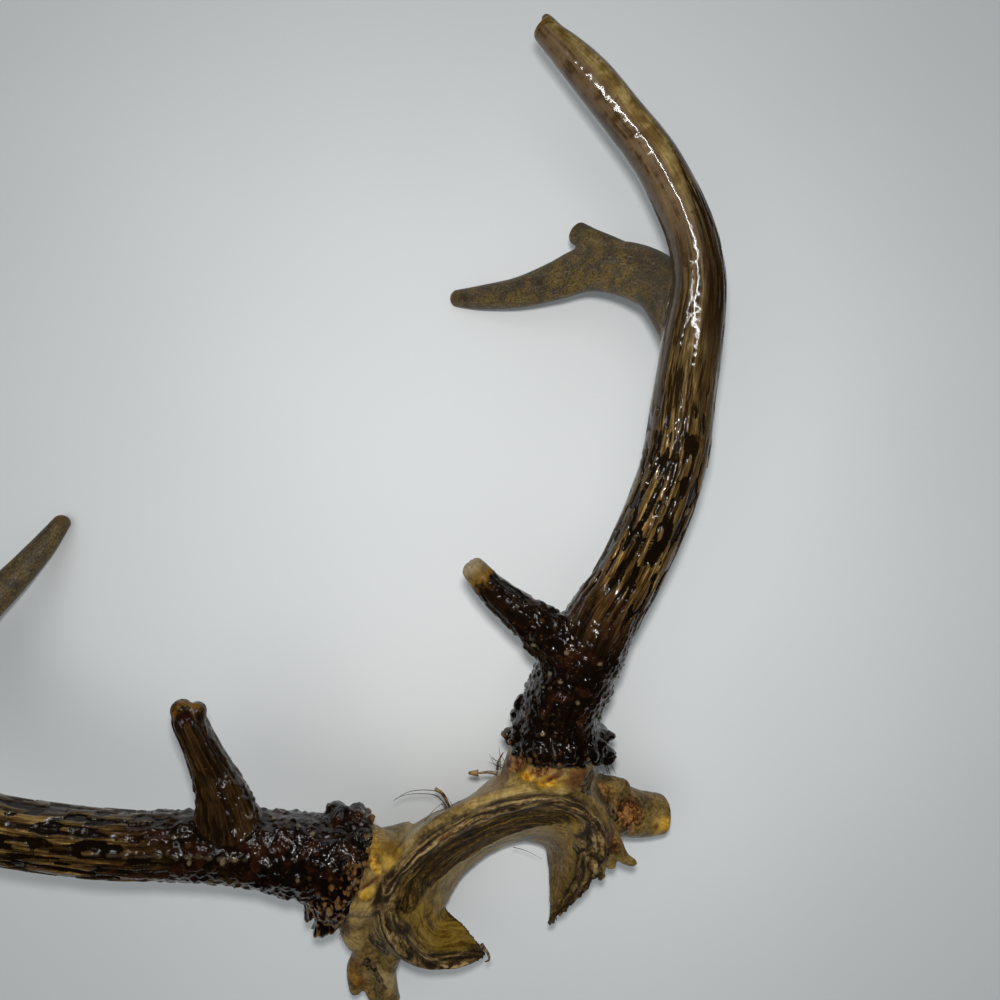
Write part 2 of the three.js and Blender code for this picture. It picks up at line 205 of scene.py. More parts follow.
# Patches of the bone by mark. Each is a centre, its reach in three directions, a strength.
BONE_PATCHES = {
    "gold": [
        (35.5, -2.5, 73, 5.5, 3.5, 9, 1), (41, -7.5, 76.5, 6, 3.5, 9, 1), (47, -11.5, 78, 5, 3, 8, 0.8),
        (-33, -4, 71, 6.5, 7, 14, 0.9), (-47.5, -8.5, 79.5, 5.5, 3.5, 6, 1), (73, -68, 33, 8, 7, 12, 1),
    ],
    "amber": [
        # Amber varnish on the pedicles. The narrow bright streaks on the left pedicle are a painted
        # highlight.
        (36, -3.5, 74, 5, 3, 7, 1), (42, -8.5, 77, 5.5, 3, 7, 1), (-39.6, -0.5, 77.5, 2.4, 7, 8, 0.7),
        (-37.5, 5, 72, 3, 6, 9, 0.4), (75, -69, 32, 5.5, 5, 12, 0.85), (-90, -54, 42, 3, 9, 8, 0.5),
        (44, -30, 68, 6, 3.5, 6, 0.6), (-49, -9, 80, 2.5, 3, 5, 0.5),
    ],
    "tan": [
        (13, -5, 55, 16, 9, 30, 1), (27, -9, 66, 13, 8, 24, 1), (40, -15, 75, 12, 5, 9, 0.9),
        (-34.5, 5, 62, 5, 7, 13, 0.9), (-55, -15, 77, 7, 8, 9, 1), (-64, -24, 64, 10, 9, 13, 1),
        (-74, -34, 52, 8, 9, 10, 0.8), (-24, -6, 74, 8, 3, 6, 0.6),
    ],
    "pale": [
        (-20, -4, 50, 13, 8, 30, 0.9), (-7, -5, 50, 13, 8, 32, 1), (-77.5, -62, 40, 5, 12, 8, 0.9),
        (-2, -4.5, 74, 9, 3, 6, 0.7),
    ],
    "tawny": [
        (31, 3, 70, 10, 4.5, 14, 1), (43, -2.5, 79, 11, 3.4, 8, 1), (-80, -62, 41, 1.6, 9, 7, 0.8),
        (50, -50, 62, 6, 12, 9, 0.8), (56, -36, 54, 10, 8, 12, 0.7),
    ],
    "dark": [
        (44.5, -7.8, 78, 4, 0.5, 6, 1), (57, -20, 67, 7, 8, 11, 0.9), (-44, -5.6, 80, 5, 0.5, 7, 1),
        (-60, -33, 64, 5, 8, 11, 1), (-68, -43, 49, 6, 9, 9, 1), (-80, -55, 41, 3.6, 11, 8, 0.9),
        (-35, -55.5, 27, 4, 3, 7, 0.7), (35, -50, 53, 2.5, 3.5, 5, 1), (48, -38, 66, 3, 5, 8, 0.8),
        (57, -44, 50, 2.2, 9, 9, 0.8),
    ],
    "blush": [
        (-90, -56, 42, 4, 10, 8, 0.6), (22, -1, 58, 7, 5, 14, 0.5), (54, -14, 76, 7, 6, 9, 0.8),
        (-8, -6.3, 76.5, 5, 1.6, 5, 0.9), (70.6, -66.5, 36, 2.8, 2.6, 8, 1),
        (-85.5, -47, 45, 4, 5, 7, 0.6), (-36, -55, 28, 5, 4, 8, 1), (44.5, -7.6, 78, 8, 1.6, 6, 1),
        (-44, -5.6, 80, 7, 1.3, 7, 1),
    ],
}

# Hairs and scraps of hide: line and thickness.
FRINGE_GIRTH = 0.3
HAIRS = [
    ([(-7.8, -6, 46), (-7.7, 2.4, 47), (-12.7, 7.5, 48), (-20.3, 10.5, 47), (-29.2, 10, 45)], 0.55),
    ([(-8.7, -6, 46), (-9.6, 1.9, 47), (-15.8, 7, 47), (-22.6, 9.8, 46), (-27.9, 10.3, 45)], 0.45),
    ([(-27.2, -3.5, 50), (-21, -4, 51), (-12.1, -1.7, 50), (-6.3, -1.9, 49)], 0.4),
    ([(22.7, -2, 50), (25.8, 3.4, 52), (28.5, 9, 54)], 0.4),
    ([(67.6, -16, 62), (66.7, -23.2, 60), (65.2, -29, 58)], 0.6),
    ([(66.4, -16, 62), (65.7, -24.2, 60), (63.3, -29.4, 58)], 0.5),
    ([(68.6, -16, 62), (68.6, -22.8, 60), (68.4, -28, 58)], 0.5),
    ([(4.8, -43.9, 30), (9.9, -48.7, 31), (14.4, -55.4, 32)], 0.35),
]
SCRAPS = [
    ([(-8.6, 5.5, 47), (-6.7, 1.3, 47), (-7.1, -3.9, 46), (-7.8, -7.5, 46)], 1.6),
    ([(19.9, -4, 46), (16.5, -1.1, 46), (13, 0.5, 46), (10.2, 2.2, 46)], 1.8),
    ([(12.4, 0.9, 46), (11.2, 1.6, 46), (9.6, 2.6, 46), (8.4, 3.4, 46)], 3.4),
    ([(-26.6, -67, 50), (-26.6, -73, 49), (-28, -76, 48), (-30.4, -76.4, 47)], 1.8),
    ([(21, -2, 47), (24, 2, 50), (29, 6, 56)], 1.4),
    ([(31, 3, 60), (27, -2, 52), (22, -4, 46)], 1.1),
]


# ---- numbers and noise

def rise(low, high, value):
    """0 below low, 1 above high, and an S curve (3t^2 - 2t^3) between them."""
    t = np.clip((value - low) / (high - low), 0.0, 1.0)
    return t * t * (3 - 2 * t)


def window(low, full, fade, high, value):
    """0 outside low to high, 1 from full to fade, and S curves between."""
    return rise(low, full, value) * (1 - rise(fade, high, value))


def dome(distance, radius):
    """Half sphere: sqrt(1 - (d / r)^2) inside the radius, 0 outside it."""
    return np.sqrt(np.clip(1 - (distance / radius) ** 2, 0, 1))


def scattered(cells, seed):
    """A repeatable value from 0 to 1 for each whole-number cell, from a mix of its three
    numbers with large odd factors."""
    x, y, z = (cells[..., axis].astype(np.int64).astype(np.uint32) for axis in range(3))
    mixed = x * np.uint32(73856093) ^ y * np.uint32(19349663) ^ z * np.uint32(83492791)
    mixed = (mixed ^ np.uint32(seed * 7919 + 17)) * np.uint32(2654435761)
    mixed = (mixed ^ (mixed >> np.uint32(15))) * np.uint32(2246822519)
    return (mixed ^ (mixed >> np.uint32(13))).astype(np.float64) / 4294967295.0


def soft_noise(points, seed=0):
    """Value noise: the eight corners' scattered values, blended by an S curve."""
    base = np.floor(points)
    part = points - base
    part = part * part * (3 - 2 * part)
    total = np.zeros(points.shape[:-1])
    for corner in itertools.product((0, 1), repeat=3):
        corner = np.array(corner)
        weight = np.prod(np.where(corner == 1, part, 1 - part), axis=-1)
        total += weight * scattered(base + corner, seed)
    return total


def layered_noise(points, octaves=3, seed=0):
    """Sum of soft noise at doubling scales and halving strengths, kept between 0 and 1."""
    total, strength, whole = 0.0, 1.0, 0.0
    for octave in range(octaves):
        total = total + strength * soft_noise(points * 2 ** octave + 5.3 * octave, seed + octave)
        whole += strength
        strength *= 0.5
    return total / whole


def nearest_cells(points, seed=0):
    """Distance from each point to the nearest of one scattered centre per cell, with
    that centre's own random value."""
    base = np.floor(points)
    best = np.full(points.shape[:-1], 9.0)
    owner = np.zeros(points.shape[:-1])
    for step in itertools.product((-1, 0, 1), repeat=3):
        cell = base + np.array(step)
        place = np.stack([scattered(cell, seed + axis) for axis in range(3)], axis=-1)
        distance = np.linalg.norm(cell + 0.1 + 0.8 * place - points, axis=-1)
        closer = distance < best
        best = np.where(closer, distance, best)
        owner = np.where(closer, scattered(cell, seed + 3), owner)
    return best, owner


def dot(first, second):
    """Row by row product of two lists of vectors."""
    return np.sum(first * second, axis=1)


def unit(vectors):
    """Each vector divided by its length."""
    return vectors / np.maximum(np.linalg.norm(vectors, axis=-1, keepdims=True), 1e-9)


def run_along(line):
    """Distance along a line of points from its first point to each of them."""
    return np.concatenate([[0.0], np.cumsum(np.linalg.norm(np.diff(line, axis=0), axis=1))])


def nearest_on(curve, points):
    """The number of the curve's point nearest to each point, worked out block by block."""
    nearest = np.empty(len(points), dtype=int)
    for start in range(0, len(points), BLOCK):
        block = points[start:start + BLOCK]
        gap = np.sum(block**2, axis=1)[:, None] + np.sum(curve**2, axis=1)[None] - 2 * block @ curve.T
        nearest[start:start + BLOCK] = np.argmin(gap, axis=1)
    return nearest


def through(stations, count, closed=False, pull=0.5):
    """Catmull-Rom curve through every station: between two of them it is the cubic whose
    slope at each is `pull` times the step between that station's neighbours."""
    stations = np.asarray(stations, dtype=float)
    number = len(stations)
    spans = number if closed else number - 1
    place = np.linspace(0, spans, count, endpoint=not closed)
    index = np.minimum(place.astype(int), spans - 1)
    t = (place - index).reshape((-1,) + (1,) * (stations.ndim - 1))

    def station(offset):
        where = index + offset
        return stations[where % number] if closed else stations[np.clip(where, 0, number - 1)]

    before, start, end, after = station(-1), station(0), station(1), station(2)
    slope_in, slope_out = pull * (end - before), pull * (after - start)
    return ((2 * t**3 - 3 * t**2 + 1) * start + (t**3 - 2 * t**2 + t) * slope_in
            + (-2 * t**3 + 3 * t**2) * end + (t**3 - t**2) * slope_out)


def placed(name, data):
    """A new object of the data, in the scene."""
    made = bpy.data.objects.new(name, data)
    bpy.context.scene.collection.objects.link(made)
    return made


# ---- swept branches

class Branch:
    """A branch of antler or bone: a centre line through its stations, with an oval
    section square to it. Roundness 1 gives it a round tip, 0 a flat one."""

    RINGS = 360

    def __init__(self, stations, roundness=0.9):
        dense = through(stations, self.RINGS)
        self.centre = dense[:, :3]
        self.half = dense[:, 3:5] / 2
        self.roundness = roundness
        self.run = run_along(self.centre)
        self.along = unit(np.gradient(self.centre, axis=0))
        self.across = unit(np.cross(self.along, UP))
        self.over = np.cross(self.across, self.along)
        self.length = self.run[-1]

    def shell(self, sides=44, dome_rings=7):
        """Grid of points: centre + across * width * cos(angle) + over * depth * sin(angle)
        for each ring, then dome rings that shrink by a cosine while they step out by a
        sine, which closes the tip."""
        angle = np.linspace(0, 2 * np.pi, sides, endpoint=False)
        swing = np.linspace(0, np.pi / 2, dome_rings + 1)[1:]
        centre = np.concatenate([self.centre, self.centre[-1] + self.along[-1]
                                 * (self.half[-1].mean() * self.roundness * np.sin(swing))[:, None]])
        shrink = np.concatenate([np.ones(len(self.centre)), np.maximum(np.cos(swing), 0.02)])
        last = np.full(len(centre), len(self.centre) - 1)
        last[:len(self.centre)] = np.arange(len(self.centre))
        wide = (self.half[last, 0] * shrink)[:, None, None] * np.cos(angle)[None, :, None]
        deep = (self.half[last, 1] * shrink)[:, None, None] * np.sin(angle)[None, :, None]
        return centre[:, None] + wide * self.across[last][:, None] + deep * self.over[last][:, None]

    def locate(self, points):
        """For each point: its run along the branch, its angle round it and its distance
        from the centre line as a share of the section's radius there."""
        nearest = nearest_on(self.centre, points)
        offset = points - self.centre[nearest]
        beyond = dot(offset, self.along[nearest])
        wide = dot(offset, self.across[nearest]) / self.half[nearest, 0]
        deep = dot(offset, self.over[nearest]) / self.half[nearest, 1]
        past_tip = np.where(nearest == len(self.centre) - 1, np.maximum(beyond, 0), 0)
        past_root = np.where(nearest == 0, np.minimum(beyond, 0), 0)
        share = np.sqrt(wide**2 + deep**2 + (past_tip / self.half[-1].mean())**2
                        + (past_root / self.half[0].mean())**2)
        return self.run[nearest] + beyond, np.arctan2(deep, wide), share


def grid_faces(rings, sides, start=0):
    """Four-cornered faces of a grid that closes on itself across its rings, and one
    many-sided face at each end."""
    row, column = np.meshgrid(np.arange(rings - 1), np.arange(sides), indexing="ij")
    here = start + row * sides + column
    next_one = start + row * sides + (column + 1) % sides
    quads = np.stack([here, next_one, next_one + sides, here + sides], axis=-1).reshape(-1, 4)
    last = start + (rings - 1) * sides
    return quads.tolist() + [list(range(start, start + sides))[::-1],
                             list(range(last, last + sides))]


def fused(shells, voxel):
    """One closed skin round all the shells: they are put in one mesh and remeshed on a
    lattice of `voxel` millimetres. Returns its points and its four-cornered faces."""
    points, faces, start = [], [], 0
    for shell in shells:
        rings, sides = shell.shape[:2]
        points.append(shell.reshape(-1, 3))
        faces += grid_faces(rings, sides, start)
        start += rings * sides
    mesh = bpy.data.meshes.new("fusing")
    mesh.from_pydata(np.concatenate(points).tolist(), [], faces)
    holder = placed("fusing", mesh)
    remesh = holder.modifiers.new("fuse", "REMESH")
    remesh.mode = "VOXEL"
    remesh.voxel_size = voxel
    graph = bpy.context.evaluated_depsgraph_get()
    result = bpy.data.meshes.new_from_object(holder.evaluated_get(graph))
    fused_points = np.empty(len(result.vertices) * 3)
    result.vertices.foreach_get("co", fused_points)
    corners = np.empty(len(result.loops), dtype=np.int32)
    result.loops.foreach_get("vertex_index", corners)
    bpy.data.objects.remove(holder)
    bpy.data.meshes.remove(mesh)
    bpy.data.meshes.remove(result)
    return fused_points.reshape(-1, 3), corners.reshape(-1, 4)


def neighbour_pairs(quads):
    """Every edge of the faces once, as pairs of point numbers."""
    pairs = np.stack([quads, np.roll(quads, -1, axis=1)], axis=-1).reshape(-1, 2)
    return np.unique(np.sort(pairs, axis=1), axis=0)


def relaxed(points, pairs, strength, rounds, rebound=0.0):
    """Moves each point towards the mean of its neighbours, `strength` of the way, then
    `rebound` of the way back out, which keeps the girth; a number of times over."""
    number = len(points)
    ends = np.concatenate([pairs[:, 0], pairs[:, 1]])
    others = np.concatenate([pairs[:, 1], pairs[:, 0]])
    count = np.maximum(np.bincount(ends, minlength=number), 1)
    points = points.copy()
    for step in [strength, -rebound * strength] * rounds if rebound else [strength] * rounds:
        mean = np.stack([np.bincount(ends, points[others, axis], number) / count
                         for axis in range(3)], axis=1)
        points += (mean - points) * np.reshape(step, (-1, 1))
    return points


def filled(points, quads, pairs, share, rounds):
    """Fills creases and leaves ridges: the points are relaxed many times over, and only
    the part of the move that goes outward is kept, by each point's own share."""
    normal = outward(points, quads)
    soft = relaxed(points, pairs, 0.5 * (share > 0.01), rounds)
    gain = dot(soft - points, normal)
    return points + normal * (share * np.maximum(gain, 0))[:, None]


def outward(points, quads):
    """Unit normals: the cross products of each face's diagonals, summed at its corners."""
    corner = points[quads]
    face = np.cross(corner[:, 2] - corner[:, 0], corner[:, 3] - corner[:, 1])
    total = np.zeros_like(points)
    for axis in range(3):
        total[:, axis] = sum(np.bincount(quads[:, k], face[:, axis], len(points)) for k in range(4))
    return unit(total)


def make_piece(name, points, quads, marks, material):
    """Puts points and faces into a mesh with its named marks (one number or one vector
    for each point), shades it smooth and gives it to the rack's one body."""
    mesh = bpy.data.meshes.new(name)
    mesh.vertices.add(len(points))
    mesh.vertices.foreach_set("co", ((points + OUTLINE_SHIFT) * MM).ravel())
    mesh.loops.add(quads.size)
    mesh.loops.foreach_set("vertex_index", quads.ravel().astype(np.int32))
    mesh.polygons.add(len(quads))
    mesh.polygons.foreach_set("loop_start", np.arange(0, quads.size, quads.shape[1], dtype=np.int32))
    mesh.update(calc_edges=True)
    mesh.polygons.foreach_set("use_smooth", np.ones(len(quads), dtype=bool))
    for mark, values in marks.items():
        kind, field = ("FLOAT_VECTOR", "vector") if values.ndim == 2 else ("FLOAT", "value")
        attribute = mesh.attributes.new(mark, kind, "POINT")
        attribute.data.foreach_set(field, values.astype(np.float32).ravel())
    mesh.materials.append(material)
    piece = placed(name, mesh)
    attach(piece, "root")
    return piece


# ---- shader writing

class Wire:
    """A shader socket. Arithmetic on it adds Math nodes."""

    def __init__(self, finish, socket):
        self.finish = finish
        self.socket = socket

    def math(self, operation, *others):
        return self.finish.node("ShaderNodeMath", {"operation": operation}, (self, *others))

    def __add__(self, other):
        return self.math("ADD", other)

    def __sub__(self, other):
        return self.math("SUBTRACT", other)

    def __rsub__(self, other):
        return self.finish.node("ShaderNodeMath", {"operation": "SUBTRACT"}, (other, self))

    def __mul__(self, other):
        return self.math("MULTIPLY", other)

    __radd__ = __add__
    __rmul__ = __mul__

    def between(self, low, high):
        """0 below low, 1 above high, smooth between."""
        return self.finish.node("ShaderNodeMapRange", {"interpolation_type": "SMOOTHSTEP"},
                                {"Value": self, "From Min": low, "From Max": high})


class Finish:
    """A node material with one Principled shader."""

    def __init__(self, name, roughness, coat=0.0, coat_roughness=0.1, gloss=0.5, ior=1.5):
        self.material = bpy.data.materials.new(name)
        self.material.use_nodes = True
        self.tree = self.material.node_tree
        self.shader = self.tree.nodes["Principled BSDF"]
        self.colour = None
        for socket, value in (("Roughness", roughness), ("Specular IOR Level", gloss), ("IOR", ior),
                              ("Coat Weight", coat), ("Coat Roughness", coat_roughness)):
            self.shader.inputs[socket].default_value = value

    def node(self, kind, settings=None, inputs=(), output=0):
        """Adds a node: its settings first, then the values or links of its sockets."""
        made = self.tree.nodes.new(kind)
        for key, value in (settings or {}).items():
            if key == "stops":
                ramp = made.color_ramp.elements
                while len(ramp) < len(value):
                    ramp.new(0.5)
                for element, (place, *colour) in zip(ramp, value):
                    element.position = place
                    element.color = (*colour, 1)
            else:
                setattr(made, key, value)
        pairs = inputs.items() if isinstance(inputs, dict) else enumerate(inputs)
        for key, value in pairs:
            if isinstance(value, Wire):
                self.tree.links.new(value.socket, made.inputs[key])
            else:
                made.inputs[key].default_value = value
        return Wire(self, made.outputs[output])

    def mark(self, name, output="Fac"):
        """One of the piece's own marks."""
        return self.node("ShaderNodeAttribute", {"attribute_name": name}, output=output)

    def place(self):
        """Object coordinates."""
        return self.node("ShaderNodeTexCoord", output="Object")

    def noise(self, where, scale, detail=3.0, roughness=0.55, bend=0.0):
        """Noise; a triple as scale stretches it by axis."""
        if isinstance(scale, tuple):
            where = self.node("ShaderNodeMapping", {}, {"Vector": where, "Scale": scale})
            scale = 1.0
        return self.node("ShaderNodeTexNoise", {}, {
            "Vector": where, "Scale": scale, "Detail": detail, "Roughness": roughness,
            "Distortion": bend})

    def mix(self, share, first, second):
        """A colour between two others."""
        paint = [(*c, 1) if isinstance(c, tuple) else c for c in (first, second)]
        return self.node("ShaderNodeMix", {"data_type": "RGBA"},
                         {"Factor": share, 6: paint[0], 7: paint[1]}, output=2)

    def paint(self, share, coat):
        """Lays one more coat over the colour so far."""
        self.colour = self.mix(share, self.colour, coat)

    def ramp(self, share, stops):
        """Colours along a share: a stop is its place, then red, green and blue."""
        return self.node("ShaderNodeValToRGB", {"stops": stops}, {"Fac": share})

    def feed(self, **sockets):
        """Links wires to the shader's own sockets, named with underscores for spaces."""
        for name, wire in sockets.items():
            self.tree.links.new(wire.socket, self.shader.inputs[name.replace("_", " ")])

    def bump(self, height, distance, strength=1.0):
        self.feed(Normal=self.node("ShaderNodeBump", {}, {"Height": height, "Distance": distance,
                                                          "Strength": strength}, output="Normal"))


def varnished_antler():
    """Antler under gloss varnish. Its marks: zone (0 at the burr, 1 at the beam's tip),
    rugged (how deep the furrows are), groove, bead, pale (which beads are tan), gilt (which
    are brown gold), dull (the fork tine), worn (broken tips), rust (reddish patches), shade
    (painted shade on the upper beam's outer side, broken into dark streaks), flank
    (painted shade and reflection on the beam's sides), side (-1 at the beam's inner side to 1
    at its outer side), root (where the fork leaves the beam, with painted shade there), pit
    and grain (millimetres along and round the branch)."""
    finish = Finish("varnished_antler", 0.11, coat=0.25, coat_roughness=0.05, ior=1.36)
    mark, paint, noise, ramp, mix = finish.mark, finish.paint, finish.noise, finish.ramp, finish.mix
    grain = mark("grain", "Vector")
    place = finish.place()
    zone, rugged, dull, side, worn = map(mark, ("zone", "rugged", "dull", "side", "worn"))
    pearled = 1 - zone.between(0.12, 0.26)
    mottle = noise(place, 140, 4)
    fine = noise(place, 520, 3, 0.65)
    tone = noise(grain, (0.52, 0.52, 0.04), 4, 0.62)
    threads = noise(grain, (1.5, 1.5, 0.11), 3, 0.6)
    streak = tone * 0.62 + threads * 0.38
    ridge = ramp(zone, [
        (0.0, 0.003, 0.0016, 0.001), (0.15, 0.0045, 0.0022, 0.0012), (0.21, 0.034, 0.017, 0.005),
        (0.3, 0.08, 0.044, 0.012), (0.42, 0.078, 0.045, 0.013), (0.52, 0.062, 0.038, 0.013),
        (0.62, 0.066, 0.042, 0.018), (0.72, 0.1, 0.07, 0.036), (0.9, 0.12, 0.082, 0.036),
        (1.0, 0.075, 0.046, 0.02)])
    bright = ramp(zone, [
        (0.0, 0.004, 0.002, 0.0012), (0.16, 0.012, 0.006, 0.002), (0.2, 0.06, 0.03, 0.008),
        (0.28, 0.24, 0.15, 0.042), (0.45, 0.185, 0.118, 0.038), (0.62, 0.115, 0.078, 0.034),
        (1.0, 0.13, 0.09, 0.042)])
    hollow = ramp(zone, [
        (0.0, 0.002, 0.0013, 0.001), (0.3, 0.004, 0.0022, 0.001), (0.6, 0.01, 0.005, 0.0018),
        (1.0, 0.034, 0.02, 0.008)])
    stained = ramp(zone, [(at, level, level, level) for at, level in (
        (0.0, 0.9), (0.28, 0.8), (0.5, 0.95), (0.64, 0.7), (0.72, 0.35), (1.0, 0.45))])
    finish.colour = mix(streak.between(0.54, 0.6), ridge, bright)
    gilded = side.between(-0.35, 0.1) * (1 - side.between(0.45, 0.8)) * zone.between(0.66, 0.76)
    paint(gilded * 0.8, ramp(mottle, [
        (0.42, 0.11, 0.062, 0.014), (0.5, 0.18, 0.115, 0.032), (0.6, 0.3, 0.215, 0.078)]))
    paint((1 - streak.between(0.44, 0.53)) * stained, hollow)
    outer = side.between(0.05, 0.5) * zone.between(0.26, 0.34) * (1 - zone.between(0.56, 0.66))
    paint(outer * threads.between(0.38, 0.5) * 0.8, (0.04, 0.023, 0.008))
    inner = (1 - side.between(-0.45, 0.05)) * zone.between(0.62, 0.74)
    paint(inner * 0.8, ramp(mottle * 0.6 + tone * 0.4, [
        (0.42, 0.034, 0.017, 0.006), (0.48, 0.088, 0.054, 0.028), (0.56, 0.12, 0.078, 0.042)]))
    # Painted shade and reflection: both sides of the beam dulled to dark grey brown where they turn away from
    # the lamp.
    paint(mark("flank") * 0.7, (0.034, 0.025, 0.016))
    furrow = (mark("groove") + (threads - 0.5) * 1.2 * rugged).between(0.34, 0.58)
    paint(furrow, hollow)
    # Painted shade on the upper beam's outer side, broken into streaks by the antler's own dark tone.
    paint(mark("shade") * tone.between(0.36, 0.52), (0.012, 0.006, 0.002))
    rust = mark("rust") * mottle.between(0.48, 0.66)
    paint(rust * 0.8, (0.016, 0.0045, 0.002))
    crumbs = pearled * noise(place, 300, 3, 0.7).between(0.6, 0.66)
    paint(crumbs * 0.5, (0.05, 0.022, 0.008))
    gilt = mark("bead").between(0.3, 1.0) * mark("gilt")
    paint(gilt * (0.2 + fine), (0.17, 0.08, 0.024))
    pale = mark("bead").between(0.5, 1.0) * mark("pale") * (mottle + 0.35)
    paint(pale, (0.12, 0.088, 0.046))
    veins = noise(grain, (0.9, 0.9, 0.16), 4, 0.7)
    olive = mix((mottle * 0.5 + veins * 0.5).between(0.45, 0.56),
                (0.112, 0.072, 0.0165), (0.052, 0.039, 0.022))
    speckle = noise(place, 1000, 4, 0.8)
    dull_paint = mix((1 - (speckle * 0.65 + veins * 0.35).between(0.43, 0.53)) * 0.85,
                     olive, (0.016, 0.01, 0.005))
    dull_paint = mix(threads.between(0.56, 0.62) * speckle.between(0.46, 0.54) * 0.6,
                     dull_paint, (0.16, 0.124, 0.074))
    # Painted shade: the fork tine darkened where it leaves the beam.
    dull_paint = mix(mark("root") * 0.55, dull_paint, (0.026, 0.02, 0.012))
    paint(dull, dull_paint)
    worn_paint = ramp(worn + (mottle - 0.5) * 0.4, [
        (0.25, 0.03, 0.013, 0.004), (0.45, 0.12, 0.06, 0.008), (0.68, 0.1, 0.06, 0.018),
        (0.9, 0.21, 0.155, 0.085)])
    frayed = worn + (mottle - 0.5) * 1.6 + (fine - 0.5) * 0.8
    paint(frayed.between(0.2, 0.48), worn_paint)
    paint(mark("pit"), (0.014, 0.003, 0.0015))
    finish.feed(Base_Color=finish.colour, Roughness=dull * 0.34 + 0.11, Coat_Weight=0.25 - dull * 0.25)
    grit = noise(place, 420, 1, 0.5)
    ribs = noise(grain, (0.9, 0.9, 0.1), 1, 0.5)
    swell = noise(grain, (0.22, 0.22, 0.36), 0, 0.5)
    finish.bump(grit * pearled * 1.6 + ribs * 0.5 * rugged + swell * 0.35 - furrow * rugged * 0.4
                + speckle * dull * 0.3, 0.0006, 0.9)
    return finish.material


def varnished_bone():
    """Skull bone under old varnish. Its marks: bed (millimetres in from the rim, along
    the arch and up), band (the cut rim), well (the hollow's wall), wing (the two wings of
    the hollow), line (dark seams), brink (dark edges), and one for each kind of patch."""
    finish = Finish("varnished_bone", 0.34, gloss=0.3, ior=1.22)
    mark, paint, noise, ramp = finish.mark, finish.paint, finish.noise, finish.ramp
    place = finish.place()
    bed = mark("bed", "Vector")
    mottle = noise(place, 110, 4, 0.6)
    fine = noise(place, 560, 4, 0.7)
    layers = noise(bed, (0.8, 0.05, 0.25), 5, 0.7, 0.5)
    seams = noise(bed, (0.45, 0.03, 0.14), 4, 0.65, 0.6)
    fibre = noise(bed, (1.6, 0.1, 0.4), 3, 0.6, 0.3)
    grit = mottle * 0.45 + fine * 0.55
    finish.colour = ramp(grit, [
        (0.38, 0.04, 0.024, 0.008), (0.5, 0.12, 0.075, 0.022), (0.62, 0.21, 0.14, 0.045)])
    for kind, texture, stops in (
            ("tan", fibre * 0.5 + grit * 0.5, [
                (0.42, 0.15, 0.09, 0.024), (0.5, 0.25, 0.165, 0.05), (0.58, 0.35, 0.245, 0.09)]),
            ("pale", grit, [
                (0.4, 0.2, 0.14, 0.056), (0.6, 0.36, 0.265, 0.12)]),
            ("gold", mottle, [
                (0.4, 0.15, 0.078, 0.01), (0.6, 0.36, 0.225, 0.04)]),
            # Amber varnish, and on the left pedicle a painted highlight.
            ("amber", grit, [
                (0.4, 0.25, 0.09, 0.006), (0.5, 0.45, 0.24, 0.02), (0.6, 0.64, 0.42, 0.08)]),
            ("band", layers * 0.7 + fine * 0.3, [
                (0.42, 0.018, 0.01, 0.005), (0.48, 0.08, 0.048, 0.017),
                (0.53, 0.17, 0.112, 0.042), (0.6, 0.32, 0.225, 0.095)]),
            ("well", layers * 0.4 + seams * 0.3 + fine * 0.3, [
                (0.42, 0.006, 0.003, 0.001), (0.48, 0.03, 0.016, 0.003),
                (0.52, 0.07, 0.04, 0.009), (0.58, 0.15, 0.088, 0.019)]),
            ("wing", seams * 0.5 + grit * 0.5, [
                (0.42, 0.075, 0.038, 0.004), (0.49, 0.17, 0.1, 0.011), (0.58, 0.27, 0.175, 0.03)]),
            ("tawny", grit, [
                (0.44, 0.012, 0.005, 0.003), (0.51, 0.08, 0.027, 0.007), (0.58, 0.24, 0.11, 0.03)]),
    ):
        paint(mark(kind), ramp(texture, stops))
    paint(mark("blush") * (0.3 + mottle), (0.075, 0.018, 0.006))
    dark = (mark("dark") + (grit - 0.5) * 2.0 * mark("dark")).between(0.25, 0.6)
    paint(dark, ramp(fine, [
        (0.43, 0.008, 0.005, 0.003), (0.5, 0.04, 0.026, 0.013), (0.58, 0.11, 0.075, 0.036)]))
    paint(mark("line") * (fine + 0.4), (0.012, 0.008, 0.005))
    paint(mark("brink"), (0.014, 0.008, 0.004))
    finish.feed(Base_Color=finish.colour,
                Roughness=mark("band") * 0.15 + mark("well") * 0.4 + 0.26)
    finish.bump(fine * 0.7 + mottle * 0.3 + layers * mark("band") * 0.4, 0.0006, 0.8)
    return finish.material


def dry_hair():
    """Dark brown hair."""
    finish = Finish("dry_hair", 0.45)
    finish.feed(Base_Color=finish.ramp(finish.noise(finish.place(), 60, 2), [
        (0.4, 0.02, 0.01, 0.005), (0.6, 0.07, 0.036, 0.014)]))
    return finish.material


def amber_scrap():
    """Dried scraps of hide under varnish."""
    finish = Finish("amber_scrap", 0.25, coat=0.3)
    finish.feed(Base_Color=finish.ramp(finish.noise(finish.place(), 300, 3), [
        (0.35, 0.04, 0.018, 0.006), (0.5, 0.11, 0.06, 0.018), (0.65, 0.23, 0.15, 0.05)]))
    return finish.material


# ---- antlers

